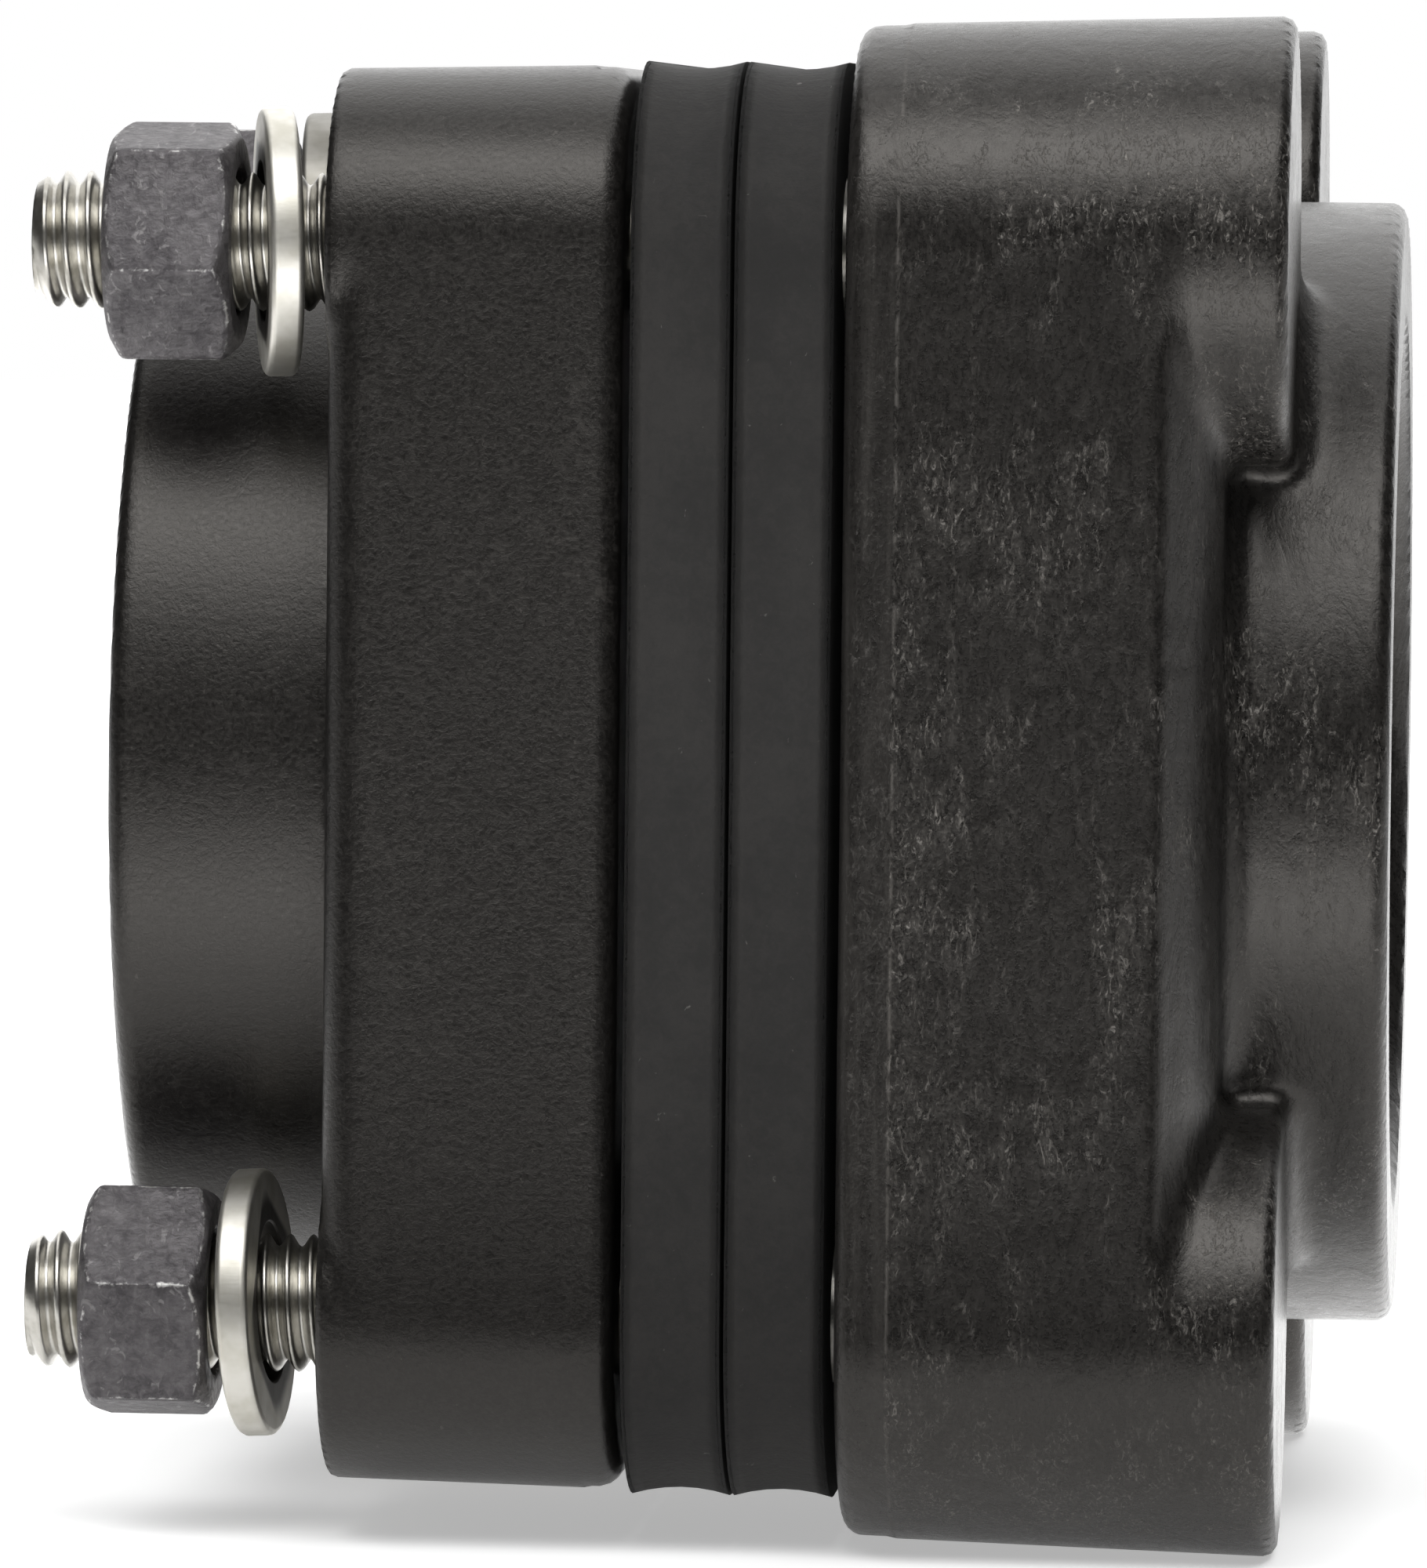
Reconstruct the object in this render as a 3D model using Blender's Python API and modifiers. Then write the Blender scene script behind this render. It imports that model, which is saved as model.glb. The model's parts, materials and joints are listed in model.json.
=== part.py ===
import bpy
import bmesh
from math import asin, cos, pi, radians, sin, sqrt, tan
from mathutils import Matrix, Vector

# Bolted tank fitting: two moulded square flanges with threaded pipe hubs, two gaskets between
# them and four captive bolts with loose washers and nuts. The pipe axis runs along X, the
# flange that holds the bolt heads is at +X, and the lowest edge stands at Z = 0. In metres.

# Pipe side
PIPE_THREAD_DIAMETER = 0.0603
PIPE_THREAD_LENGTH = 0.0260
PIPE_THREAD_TAPER = 1 / 32
PIPE_BORE_DIAMETER = 0.0525
MOUTH_CHAMFER = 0.0012
HUB_WALL = 0.00965
HUB_END_ROUND = 0.0012

# Bolts, washers and nuts
BOLT_DIAMETER = 0.0095
BOLT_HEAD_ACROSS_FLATS = 0.0143
BOLT_HEAD_HEIGHT = 0.0061
BOLT_HEAD_SEAT = 0.0133
BOLT_TIP_CHAMFER = 0.0008
BOLT_BEYOND_NUT = 0.0052
WASHER_DIAMETER = 0.0184
WASHER_HOLE = 0.0110
WASHER_THICKNESS = 0.0023
WASHER_EDGE_ROUND = 0.0003
WASHER_TO_HUB = 0.0025
WASHER_PLAY = 0.0016
NUT_ACROSS_FLATS = 0.0148
NUT_HEIGHT = 0.0087
NUT_FACE_SHARE = 0.95
NUT_CHAMFER_ANGLE = radians(30)

# Flange that holds the bolt heads
BACK_EDGE_MARGIN = 0.0151
BACK_DRAFT = radians(1.6)
BACK_PLATE_THICKNESS = 0.0214
BACK_SHOULDER_LENGTH = 0.0038
BACK_SHOULDER_DROP = 0.0060
BACK_SEAL_ROUND = 0.0013
BACK_PARTING_LINE = 0.0035
BOSS_COVER = 0.0102
BOSS_END_ROUND = 0.0010
BOSS_PROUD = 0.0002
BACK_HUB_LENGTH = 0.0069

# Loose flange
FRONT_EDGE_MARGIN = 0.0122
FRONT_DRAFT = radians(-1.2)
FRONT_PLATE_THICKNESS = 0.0202
FRONT_SEAL_ROUND = 0.0018
FRONT_OUTER_ROUND = 0.0030
FRONT_PARTING_LINE = 0.0026
FRONT_HUB_LENGTH = 0.0156

# Gaskets
GASKET_THICKNESS = 0.0067
GASKET_EDGE_MARGIN = 0.0126
GASKET_EDGE_HOLLOW = 0.0005
GASKET_BORE_MARGIN = 0.0010

# Gaps between the loose pieces, and the step left along the mould's parting line
BACK_GAP = 0.00085
MIDDLE_GAP = 0.0003
FRONT_GAP = 0.00065
BOLT_CLEARANCE = 0.0006
GASKET_BOLT_CLEARANCE = 0.0004
PARTING_STEP = 0.00012
FIT_GAP = 0.0003

# How each loose set lies on its bolt: the sides of the pipe axis that it is on, how far its nut is
# backed off past the others, the turn of the nut's first corner, the washer's lean and swing, and
# its share of the free way from the flange to the nut.
BOLT_SETS = (
    {"y": -1, "z": 1, "backed_off": 0.0, "turn": -13.5, "lean": 1.4, "swing": 11.2, "share": 0.96},
    {"y": -1, "z": -1, "backed_off": 0.0011, "turn": 13.0, "lean": 3.0, "swing": -4.0, "share": 0.78},
    {"y": 1, "z": 1, "backed_off": 0.0049, "turn": 8.0, "lean": 2.0, "swing": 2.5, "share": 0.93},
    {"y": 1, "z": -1, "backed_off": 0.0014, "turn": -24.0, "lean": -3.0, "swing": 3.0, "share": 0.5},
)

# Roundness of the meshes
CORNER_STEPS = 12
ROUND_STEPS = 4
GASKET_EDGE_STEPS = 6
HUB_SIDES = 80
BORE_SIDES = 56
BOSS_SIDES = 4 * CORNER_STEPS
HOLE_SIDES = 24
WASHER_SIDES = 40
NUT_SIDES = 36
WELD_DISTANCE = 0.000005


def washer_tilt(place):
    return asin(sqrt(sin(radians(place["lean"])) ** 2 + sin(radians(place["swing"])) ** 2))


def washer_reach(place):
    # From the rim's nearest point on the flange's side to where the nut's face would meet it
    tilt = washer_tilt(place)
    across = (WASHER_DIAMETER + NUT_FACE_SHARE * NUT_ACROSS_FLATS) / 2
    return WASHER_THICKNESS * cos(tilt) + across * sin(tilt)


def washer_middle(place):
    tilt = washer_tilt(place)
    return (WASHER_THICKNESS * cos(tilt) + WASHER_DIAMETER * sin(tilt)) / 2


# Sizes that follow from the ones above
hub_radius = PIPE_THREAD_DIAMETER / 2 + HUB_WALL
bolt_circle_radius = hub_radius + WASHER_TO_HUB + WASHER_DIAMETER / 2
bolt_offset = bolt_circle_radius / sqrt(2)
boss_height = BOLT_HEAD_SEAT + BOLT_HEAD_HEIGHT + BOSS_COVER
back_length = boss_height + BACK_HUB_LENGTH
front_length = FRONT_PLATE_THICKNESS + FRONT_HUB_LENGTH
nut_standoff = max(washer_reach(place) for place in BOLT_SETS) + WASHER_PLAY
boss_end_margin = BACK_EDGE_MARGIN + (boss_height - BOSS_END_ROUND) * tan(BACK_DRAFT) + PARTING_STEP
axis_height = bolt_offset + boss_end_margin

# Distances from the back flange's sealing face to the pieces stacked on it, along -X
back_gasket_start = BACK_GAP
front_gasket_start = back_gasket_start + GASKET_THICKNESS + MIDDLE_GAP
front_flange_start = front_gasket_start + GASKET_THICKNESS + FRONT_GAP
front_flange_face = front_flange_start + FRONT_PLATE_THICKNESS
bolt_tip = front_flange_face + nut_standoff + NUT_HEIGHT + BOLT_BEYOND_NUT
seal_x = (bolt_tip - back_length) / 2


def make_collection(name):
    collection = bpy.data.collections.new(name)
    bpy.context.scene.collection.children.link(collection)
    return collection


def make_material(name, color, roughness, metallic):
    material = bpy.data.materials.new(name)
    material.use_nodes = True
    shader = material.node_tree.nodes["Principled BSDF"]
    shader.inputs["Base Color"].default_value = (*color, 1.0)
    shader.inputs["Roughness"].default_value = roughness
    shader.inputs["Metallic"].default_value = metallic
    return material


def add_part(name, mesh, material):
    mesh.materials.clear()
    mesh.materials.append(material)
    mesh.shade_smooth()
    mesh.set_sharp_from_angle(angle=radians(32))
    part = bpy.data.objects.new(name, mesh)
    parts.objects.link(part)
    return part


def add_tool(name, mesh):
    tool = bpy.data.objects.new(name, mesh)
    tool.hide_render = True
    tool.display_type = "WIRE"
    cutters.objects.link(tool)
    return tool


def mesh_from(bm, name):
    bmesh.ops.recalc_face_normals(bm, faces=bm.faces)
    mesh = bpy.data.meshes.new(name)
    bm.to_mesh(mesh)
    bm.free()
    return mesh


def settled(source, name):
    # A copy of an object's evaluated mesh, with its modifiers done and its place in the mesh
    bpy.context.view_layer.update()
    evaluated = source.evaluated_get(bpy.context.evaluated_depsgraph_get())
    mesh = bpy.data.meshes.new_from_object(evaluated)
    mesh.name = name
    mesh.transform(source.matrix_world)
    return mesh


def arc(center, radius, start, end, steps):
    angles = [radians(start + (end - start) * i / steps) for i in range(steps + 1)]
    return [(center[0] + radius * cos(a), center[1] + radius * sin(a)) for a in angles]


def turned(name, profile, sides, closed=False):
    # Profile points are (distance along the axis, radius), from the far end down the outer side.
    # The turned shape is laid along X.
    bm = bmesh.new()
    verts = [bm.verts.new((radius, 0, along)) for along, radius in profile]
    for first, second in zip(verts, verts[1:]):
        bm.edges.new((first, second))
    if closed:
        bm.edges.new((verts[-1], verts[0]))
    mesh = bpy.data.meshes.new(name)
    bm.to_mesh(mesh)
    bm.free()
    blank = add_tool(name + "_profile", mesh)
    screw = blank.modifiers.new("turn", "SCREW")
    screw.steps = screw.render_steps = sides
    screw.use_merge_vertices = True
    screw.merge_threshold = 0.000001
    blank.rotation_euler = (0, pi / 2, 0)
    solid = settled(blank, name)
    bpy.data.objects.remove(blank)
    return solid


def square_ring(half, margin, corner_steps):
    # A square in the YZ plane whose corner arcs are centred on the bolts
    points = []
    for quarter in range(4):
        turn = Matrix.Rotation(quarter * pi / 2, 2)
        for y, z in arc((half - margin, half - margin), margin, 0, 90, corner_steps):
            points.append(turn @ Vector((y, z)))
    return points


def lofted(name, profile, corner_steps=CORNER_STEPS):
    # Squares stacked along X: profile points are (distance, margin outside the bolts)
    bm = bmesh.new()
    rings = []
    for along, margin in profile:
        ring = square_ring(bolt_offset + margin, margin, corner_steps)
        rings.append([bm.verts.new((along, y, z)) for y, z in ring])
    for lower, upper in zip(rings, rings[1:]):
        for i in range(len(lower)):
            j = (i + 1) % len(lower)
            bm.faces.new((lower[i], lower[j], upper[j], upper[i]))
    bm.faces.new(rings[0])
    bm.faces.new(rings[-1])
    return mesh_from(bm, name)


def hexagon(name, across_flats, start, end, turn=0.0):
    bm = bmesh.new()
    radius = across_flats / sqrt(3)
    bmesh.ops.create_cone(
        bm, cap_ends=True, segments=6, radius1=radius, radius2=radius, depth=end - start
    )
    # The first corner points towards -Y before the turn
    lay = Matrix.Rotation(turn, 4, "X") @ Matrix.Rotation(pi / 2, 4, "Y")
    bmesh.ops.transform(bm, matrix=Matrix.Translation(((start + end) / 2, 0, 0)) @ lay, verts=bm.verts)
    return mesh_from(bm, name)


def combine(target, operation, tool):
    step = target.modifiers.new(tool.name, "BOOLEAN")
    step.operation = operation
    step.solver = "EXACT"
    step.object = tool


def weld(target):
    step = target.modifiers.new("weld", "WELD")
    step.merge_threshold = WELD_DISTANCE


def at_bolts(mesh, name):
    # The same tool at all four bolts of a flange or gasket
    tools = []
    for number, place in enumerate(BOLT_SETS, 1):
        tool = add_tool(f"{name}_{number}", mesh)
        tool.location = (0, place["y"] * bolt_offset, place["z"] * bolt_offset)
        tools.append(tool)
    return tools


def drafted_edge(margin, draft, length, parting_line):
    # The flange's side, stepped out by a hair where the two halves of the mould met
    side = [(0.0, margin), (parting_line, margin + parting_line * tan(draft))]
    side.append((parting_line, side[-1][1] + PARTING_STEP))
    side.append((length, margin + length * tan(draft) + PARTING_STEP))
    return side


def rounded_ends(side, first_round, last_round):
    # Quarter rounds in place of the first and last corners of a side, where they have a radius
    (start, start_margin), (end, end_margin) = side[0], side[-1]
    first, last = [side[0]], [side[-1]]
    if first_round:
        middle = (start + first_round, start_margin - first_round)
        first = arc(middle, first_round, 180, 90, ROUND_STEPS)
    if last_round:
        middle = (end - last_round, end_margin - last_round)
        last = arc(middle, last_round, 90, 0, ROUND_STEPS)
    return first + side[1:-1] + last


def hub_mesh(name, start, length):
    edge = arc((length - HUB_END_ROUND, hub_radius - HUB_END_ROUND), HUB_END_ROUND, 0, 90, ROUND_STEPS)
    return turned(name, [(length, 0)] + edge + [(start, hub_radius), (start, 0)], HUB_SIDES)


def bore_mesh(name, length):
    # The way through one flange: a straight bore, then the tapered hole of the pipe thread
    mouth = PIPE_THREAD_DIAMETER / 2
    inner = mouth - PIPE_THREAD_LENGTH * PIPE_THREAD_TAPER
    shoulder = length - PIPE_THREAD_LENGTH
    bore = PIPE_BORE_DIAMETER / 2
    beyond = MOUTH_CHAMFER
    profile = [
        (length + beyond, 0),
        (length + beyond, mouth + 2 * MOUTH_CHAMFER),
        (length - MOUTH_CHAMFER, mouth),
        (shoulder, inner),
        (shoulder - (inner - bore), bore),
        (-beyond, bore),
        (-beyond, 0),
    ]
    return turned(name, profile, BORE_SIDES)


def rod_mesh(name, start, end, radius, sides):
    return turned(name, [(end, 0), (end, radius), (start, radius), (start, 0)], sides)


def make_back_flange(material):
    # A rounded block, cut back between the corners to a sloped shoulder and four round bosses
    side = drafted_edge(BACK_EDGE_MARGIN, BACK_DRAFT, boss_height + BOSS_END_ROUND, BACK_PARTING_LINE)
    body = add_tool("back_body", lofted("back_body", rounded_ends(side, BACK_SEAL_ROUND, 0)))

    shoulder_end = BACK_PLATE_THICKNESS + BACK_SHOULDER_LENGTH
    plate_margin = BACK_EDGE_MARGIN + BACK_PLATE_THICKNESS * tan(BACK_DRAFT) + PARTING_STEP
    wide = plate_margin + BACK_SHOULDER_DROP
    shoulder = [
        (-BACK_SHOULDER_LENGTH, wide),
        (BACK_PLATE_THICKNESS - BACK_SHOULDER_LENGTH, wide),
        (shoulder_end, plate_margin - BACK_SHOULDER_DROP),
    ]
    envelope = add_tool("back_envelope", lofted("back_envelope", shoulder, 1))
    boss_side = [(along, margin + BOSS_PROUD) for along, margin in side[2:-1]]
    boss_side.append((boss_height, boss_end_margin + BOSS_PROUD))
    boss_turn = [(boss_height, 0)] + rounded_ends(boss_side, 0, BOSS_END_ROUND)[::-1]
    boss_turn.append((boss_side[0][0], 0))
    for boss in at_bolts(turned("boss", boss_turn, BOSS_SIDES), "boss"):
        combine(envelope, "UNION", boss)
    combine(body, "INTERSECT", envelope)
    weld(body)

    combine(body, "UNION", add_tool("back_hub", hub_mesh("back_hub", BOLT_HEAD_SEAT, back_length)))
    combine(body, "DIFFERENCE", add_tool("back_bore", bore_mesh("back_bore", back_length)))

    head_end = BOLT_HEAD_SEAT + BOLT_HEAD_HEIGHT
    middle = BOLT_HEAD_SEAT + BOLT_HEAD_HEIGHT / 2
    pocket_width = BOLT_HEAD_ACROSS_FLATS + 2 * FIT_GAP
    pocket = add_tool("head_pocket", hexagon(
        "head_pocket", pocket_width, BOLT_HEAD_SEAT - FIT_GAP, head_end + FIT_GAP
    ))
    hole = rod_mesh("captive_hole", -FIT_GAP, middle, BOLT_DIAMETER / 2 + FIT_GAP, HOLE_SIDES)
    combine(pocket, "UNION", add_tool("captive_hole", hole))
    for tool in at_bolts(settled(pocket, "captive_space"), "captive_space"):
        combine(body, "DIFFERENCE", tool)

    weld(body)
    flange = add_part("back_flange", settled(body, "back_flange"), material)
    flange.location = (seal_x, 0, axis_height)
    return flange


def make_front_flange(material):
    side = drafted_edge(FRONT_EDGE_MARGIN, FRONT_DRAFT, FRONT_PLATE_THICKNESS, FRONT_PARTING_LINE)
    profile = rounded_ends(side, FRONT_SEAL_ROUND, FRONT_OUTER_ROUND)
    body = add_tool("front_body", lofted("front_body", profile))
    hub = hub_mesh("front_hub", FRONT_PLATE_THICKNESS / 2, front_length)
    combine(body, "UNION", add_tool("front_hub", hub))
    combine(body, "DIFFERENCE", add_tool("front_bore", bore_mesh("front_bore", front_length)))
    radius = BOLT_DIAMETER / 2 + BOLT_CLEARANCE
    hole = rod_mesh("bolt_hole", -FIT_GAP, FRONT_PLATE_THICKNESS + FIT_GAP, radius, HOLE_SIDES)
    for tool in at_bolts(hole, "bolt_hole"):
        combine(body, "DIFFERENCE", tool)

    # Built with its hub towards +X, then turned about so that the hub faces -X
    mesh = settled(body, "front_flange")
    mesh.transform(Matrix.Rotation(pi, 4, "Z"))
    flange = add_part("front_flange", mesh, material)
    flange.location = (seal_x - front_flange_start, 0, axis_height)
    return flange


def make_gaskets(material):
    steps = GASKET_EDGE_STEPS
    profile = []
    for i in range(steps + 1):
        across = 2 * i / steps - 1
        margin = GASKET_EDGE_MARGIN - GASKET_EDGE_HOLLOW * (1 - across ** 2)
        profile.append((GASKET_THICKNESS * i / steps, margin))
    body = add_tool("gasket_body", lofted("gasket_body", profile))
    radius = PIPE_BORE_DIAMETER / 2 + GASKET_BORE_MARGIN
    opening = rod_mesh("gasket_opening", -FIT_GAP, GASKET_THICKNESS + FIT_GAP, radius, BORE_SIDES)
    combine(body, "DIFFERENCE", add_tool("gasket_opening", opening))
    radius = BOLT_DIAMETER / 2 + GASKET_BOLT_CLEARANCE
    hole = rod_mesh("gasket_hole", -FIT_GAP, GASKET_THICKNESS + FIT_GAP, radius, HOLE_SIDES)
    for tool in at_bolts(hole, "gasket_hole"):
        combine(body, "DIFFERENCE", tool)
    mesh = settled(body, "gasket")
    for name, start in (("back_gasket", back_gasket_start), ("front_gasket", front_gasket_start)):
        gasket = add_part(name, mesh, material)
        gasket.location = (seal_x - start - GASKET_THICKNESS, 0, axis_height)


def make_bolts(material):
    # The bolt's origin is in the plane of the sealing face, its head inside the boss at +X
    head = add_tool("bolt_head", hexagon(
        "bolt_head", BOLT_HEAD_ACROSS_FLATS, BOLT_HEAD_SEAT, BOLT_HEAD_SEAT + BOLT_HEAD_HEIGHT
    ))
    radius = BOLT_DIAMETER / 2
    middle = BOLT_HEAD_SEAT + BOLT_HEAD_HEIGHT / 2
    tip = [(-bolt_tip + BOLT_TIP_CHAMFER, radius), (-bolt_tip, radius - BOLT_TIP_CHAMFER), (-bolt_tip, 0)]
    shank = turned("bolt_shank", [(middle, 0), (middle, radius)] + tip, HOLE_SIDES)
    combine(head, "UNION", add_tool("bolt_shank", shank))
    mesh = settled(head, "bolt")
    for number, place in enumerate(BOLT_SETS, 1):
        bolt = add_part(f"bolt_{number}", mesh, material)
        bolt.location = (seal_x, place["y"] * bolt_offset, axis_height + place["z"] * bolt_offset)


def make_washers(material):
    inner, outer = WASHER_HOLE / 2, WASHER_DIAMETER / 2
    half, edge = WASHER_THICKNESS / 2, WASHER_EDGE_ROUND
    profile = [
        (half, inner), (half, outer - edge), (half - edge, outer),
        (edge - half, outer), (-half, outer - edge), (-half, inner),
    ]
    mesh = turned("washer", profile, WASHER_SIDES, closed=True)
    for number, place in enumerate(BOLT_SETS, 1):
        washer = add_part(f"washer_{number}", mesh, material)
        free_way = nut_standoff + place["backed_off"] - washer_reach(place)
        along = front_flange_face + washer_middle(place) + place["share"] * free_way
        y, z = place["y"] * bolt_offset, axis_height + place["z"] * bolt_offset
        washer.location = (seal_x - along, y, z)
        washer.rotation_euler = (0, radians(-place["lean"]), radians(place["swing"]))


def make_nuts(material):
    # The nut's origin is on its bolt's axis, in the plane of the face that the washer meets
    body = add_tool("nut_body", hexagon("nut_body", NUT_ACROSS_FLATS, -NUT_HEIGHT, 0))
    face_radius = NUT_FACE_SHARE * NUT_ACROSS_FLATS / 2
    wide = NUT_ACROSS_FLATS / sqrt(3) + FIT_GAP
    drop = (wide - face_radius) * tan(NUT_CHAMFER_ANGLE)
    lens = [
        (0, 0), (0, face_radius), (-drop, wide),
        (drop - NUT_HEIGHT, wide), (-NUT_HEIGHT, face_radius), (-NUT_HEIGHT, 0),
    ]
    combine(body, "INTERSECT", add_tool("nut_lens", turned("nut_lens", lens, NUT_SIDES)))
    hole = rod_mesh("nut_hole", -NUT_HEIGHT - FIT_GAP, FIT_GAP, BOLT_DIAMETER / 2 + FIT_GAP, HOLE_SIDES)
    combine(body, "DIFFERENCE", add_tool("nut_hole", hole))
    mesh = settled(body, "nut")
    for number, place in enumerate(BOLT_SETS, 1):
        nut = add_part(f"nut_{number}", mesh, material)
        along = front_flange_face + nut_standoff + place["backed_off"]
        y, z = place["y"] * bolt_offset, axis_height + place["z"] * bolt_offset
        nut.location = (seal_x - along, y, z)
        nut.rotation_euler = (radians(-place["turn"]), 0, 0)


for leftover in list(bpy.data.objects):
    bpy.data.objects.remove(leftover)
parts = make_collection("bolted_tank_flange")
cutters = make_collection("cutters")

black_plastic = make_material("black_plastic", (0.030, 0.030, 0.032), 0.48, 0.0)
black_rubber = make_material("black_rubber", (0.036, 0.036, 0.037), 0.75, 0.0)
stainless_steel = make_material("stainless_steel", (0.60, 0.57, 0.50), 0.28, 1.0)
dark_steel = make_material("dark_steel", (0.16, 0.155, 0.17), 0.42, 1.0)

make_back_flange(black_plastic)
make_front_flange(black_plastic)
make_gaskets(black_rubber)
make_bolts(stainless_steel)
make_washers(stainless_steel)
make_nuts(dark_steel)
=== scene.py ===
import bpy
import bmesh
import json
from math import pi, radians, sqrt, tan, tau
from mathutils import Matrix, Vector
from mathutils.kdtree import KDTree

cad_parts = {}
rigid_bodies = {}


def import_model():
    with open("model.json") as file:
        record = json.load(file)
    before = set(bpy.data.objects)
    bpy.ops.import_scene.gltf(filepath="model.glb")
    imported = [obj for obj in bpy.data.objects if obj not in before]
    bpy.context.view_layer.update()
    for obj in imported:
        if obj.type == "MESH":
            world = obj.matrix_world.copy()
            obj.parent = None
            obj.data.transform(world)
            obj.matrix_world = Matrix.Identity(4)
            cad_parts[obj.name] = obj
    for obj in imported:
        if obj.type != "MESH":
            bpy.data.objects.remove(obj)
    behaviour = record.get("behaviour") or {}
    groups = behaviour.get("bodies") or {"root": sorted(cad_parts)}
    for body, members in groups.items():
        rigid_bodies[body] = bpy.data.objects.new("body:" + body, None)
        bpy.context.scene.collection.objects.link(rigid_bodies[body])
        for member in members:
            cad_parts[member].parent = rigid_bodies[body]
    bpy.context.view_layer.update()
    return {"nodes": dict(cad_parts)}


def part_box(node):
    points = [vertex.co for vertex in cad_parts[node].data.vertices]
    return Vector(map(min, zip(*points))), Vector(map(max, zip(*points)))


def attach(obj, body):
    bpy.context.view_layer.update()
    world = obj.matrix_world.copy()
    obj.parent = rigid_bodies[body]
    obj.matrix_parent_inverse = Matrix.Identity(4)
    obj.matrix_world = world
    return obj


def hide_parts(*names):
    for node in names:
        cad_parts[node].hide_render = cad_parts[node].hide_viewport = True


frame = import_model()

print("frame loaded")

# Places read from the frame, in metres
backLow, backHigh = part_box("back_flange")
frontLow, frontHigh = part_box("front_flange")
boltLow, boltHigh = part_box("bolt_1")
axisZ = (backLow.z + backHigh.z) / 2
sealX = backLow.x
boltOffset = abs(boltLow.y + boltHigh.y) / 2


class Wire:
    # One output socket, so that node maths reads as plain expressions
    def __init__(self, tree, socket=None):
        self.tree, self.socket = tree, socket

    def node(self, kind, settings, values, out=None):
        # Settings are set first, then the values or links of the sockets
        node = self.tree.nodes.new(kind)
        for key, value in settings.items():
            setattr(node, key, value)
        for key, value in (enumerate(values) if isinstance(values, (list, tuple)) else values.items()):
            if isinstance(value, Wire):
                self.tree.links.new(value.socket, node.inputs[key])
            elif value is not None:
                node.inputs[key].default_value = value
        if out is not None:
            return Wire(self.tree, node.outputs[out])
        outputs = [Wire(self.tree, socket) for socket in node.outputs if socket.enabled]
        return outputs[0] if len(outputs) == 1 else outputs

    def math(self, operation, *others):
        return self.node("ShaderNodeMath", {"operation": operation}, [self, *others])

    def flipped(self, operation, other):
        return self.node("ShaderNodeMath", {"operation": operation}, [other, self])

    def __add__(self, other): return self.math("ADD", other)
    def __radd__(self, other): return self.math("ADD", other)
    def __sub__(self, other): return self.math("SUBTRACT", other)
    def __rsub__(self, other): return self.flipped("SUBTRACT", other)
    def __mul__(self, other): return self.math("MULTIPLY", other)
    def __rmul__(self, other): return self.math("MULTIPLY", other)
    def __truediv__(self, other): return self.math("DIVIDE", other)
    def __rtruediv__(self, other): return self.flipped("DIVIDE", other)
    def __pow__(self, other): return self.math("POWER", other)
    def __neg__(self): return self.math("MULTIPLY", -1.0)
    def __abs__(self): return self.math("ABSOLUTE")
    def lower(self, other): return self.math("MINIMUM", other)
    def upper(self, other): return self.math("MAXIMUM", other)
    def root(self): return self.math("SQRT")

    def within(self, low, high):
        # 0 below low and 1 above high, with a smooth way between
        return self.node("ShaderNodeMapRange", {"interpolation_type": "SMOOTHSTEP"}, {
            "Value": self, "From Min": low, "From Max": high,
        }, out="Result")

    def noise(self, scale, detail=2.0, roughness=0.5, distortion=0.0):
        return self.node("ShaderNodeTexNoise", {}, {
            "Vector": self, "Scale": scale, "Detail": detail, "Roughness": roughness,
            "Distortion": distortion,
        }, out="Fac")

    def stretched(self, scale):
        return self.node("ShaderNodeVectorMath", {"operation": "MULTIPLY"}, [self, scale], out="Vector")

    def mix(self, first, second):
        # Colours, by this wire as the factor
        colors = [value if isinstance(value, Wire) else (*value, 1) for value in (first, second)]
        settings = {"data_type": "RGBA"}
        return self.node("ShaderNodeMix", settings, {0: self, 6: colors[0], 7: colors[1]}, out=2)

    def bump(self, distance, strength=1.0, under=None):
        return self.node("ShaderNodeBump", {}, {
            "Height": self, "Distance": distance, "Strength": strength, "Normal": under,
        })

    def parts(self):
        return self.node("ShaderNodeSeparateXYZ", {}, [self])


def newMaterial(name, fixed):
    # A material with its Principled shader, and a place in millimetres in the object's own frame
    material = bpy.data.materials.new(name)
    material.use_nodes = True
    shader = material.node_tree.nodes["Principled BSDF"]
    for key, value in fixed.items():
        shader.inputs[key].default_value = value
    place = Wire(material.node_tree).node("ShaderNodeTexCoord", {}, {}, out="Object")
    return material, shader, place.stretched((1000, 1000, 1000))


def feed(shader, **wires):
    names = {"color": "Base Color", "roughness": "Roughness", "normal": "Normal", "metallic": "Metallic"}
    for key, wire in wires.items():
        wire.tree.links.new(wire.socket, shader.inputs[names[key]])


# Finishes
mouldedLook = {
    "deep": (0.0050, 0.0046, 0.0042), "worn": (0.0182, 0.0169, 0.0156), "rubbed": (0.090, 0.084, 0.077),
    "scratch": (0.27, 0.254, 0.233), "partingTo": 3.6,
}
mouldedShine = {"IOR": 1.5, "Specular Tint": (1.0, 0.955, 0.905, 1)}


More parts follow.
